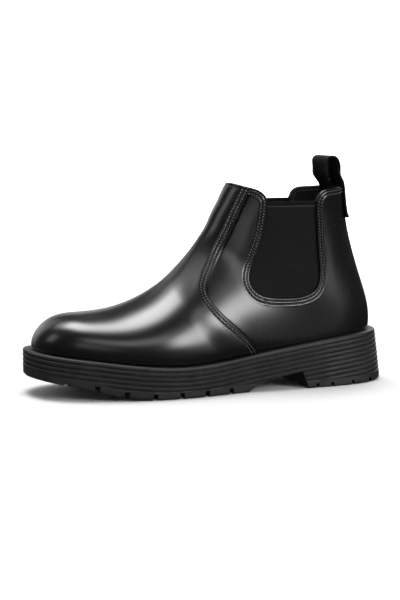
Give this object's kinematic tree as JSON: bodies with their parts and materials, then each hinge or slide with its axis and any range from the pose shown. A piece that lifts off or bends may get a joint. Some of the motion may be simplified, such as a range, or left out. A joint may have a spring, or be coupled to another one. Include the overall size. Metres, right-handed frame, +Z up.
{
  "type": "chelsea boot",
  "caption": "Black leather ankle boot with elastic side panels, a rear pull tab and a thick ribbed rubber sole with a low heel.",
  "frame": {"origin": "on the floor under the middle of the boot's box", "axes": "the toe points to -X, the outer (lateral) side faces -Y, +Z is up; a left boot"},
  "size_m": [0.2999, 0.1099, 0.1847],
  "materials": {
    "leather": "smooth polished",
    "lining": "matte",
    "elastic": "matte ribbed knit",
    "webbing": "woven",
    "sole_rubber": "satin moulded",
    "footbed": "matte",
    "stiffener": "matte sheet",
    "filler": "matte foam and cork",
    "insole_board": "matte",
    "steel": "satin"
  },
  "bodies": {
    "boot": {"outsole": "sole_rubber", "heel_filler": "filler", "forefoot_filler": "filler", "shank": "steel", "shank_rivet_front": "steel", "shank_rivet_rear": "steel", "insole_board": "insole_board", "footbed": "footbed", "heel_pad": "footbed", "vamp": "leather", "quarter_lateral": "leather", "quarter_medial": "leather", "back_strip": "leather", "gore_lateral": "elastic", "gore_medial": "elastic", "toe_puff": "stiffener", "heel_counter": "stiffener", "vamp_lining": "lining", "quarter_lining_lateral": "lining", "quarter_lining_medial": "lining", "heel_lining": "lining"},
    "shaft_back": {"quarter_lateral_rear": "leather", "quarter_medial_rear": "leather", "back_strip_upper": "leather", "shaft_lining": "lining", "pull_tab_outer_leg": "webbing", "pull_tab_inner_leg": "webbing"},
    "pull_tab": {"pull_tab_loop": "webbing"}
  },
  "joints": [
    {"name": "shaft_back_lean", "type": "hinge", "parent": "boot", "child": "shaft_back", "pos_m": [0.1268, 0.0028, 0.097], "axis": [0, 1, 0], "range_deg": [0, 12], "stiffness_Nm_per_rad": 4, "deforming": ["gore_lateral", "gore_medial"]},
    {"name": "pull_tab_fold", "type": "hinge", "parent": "shaft_back", "child": "pull_tab", "pos_m": [0.1136, 0.0028, 0.16], "axis": [0, 1, 0], "range_deg": [-35, 50], "stiffness_Nm_per_rad": 0.03, "deforming": ["pull_tab_outer_leg", "pull_tab_inner_leg"]}
  ]
}
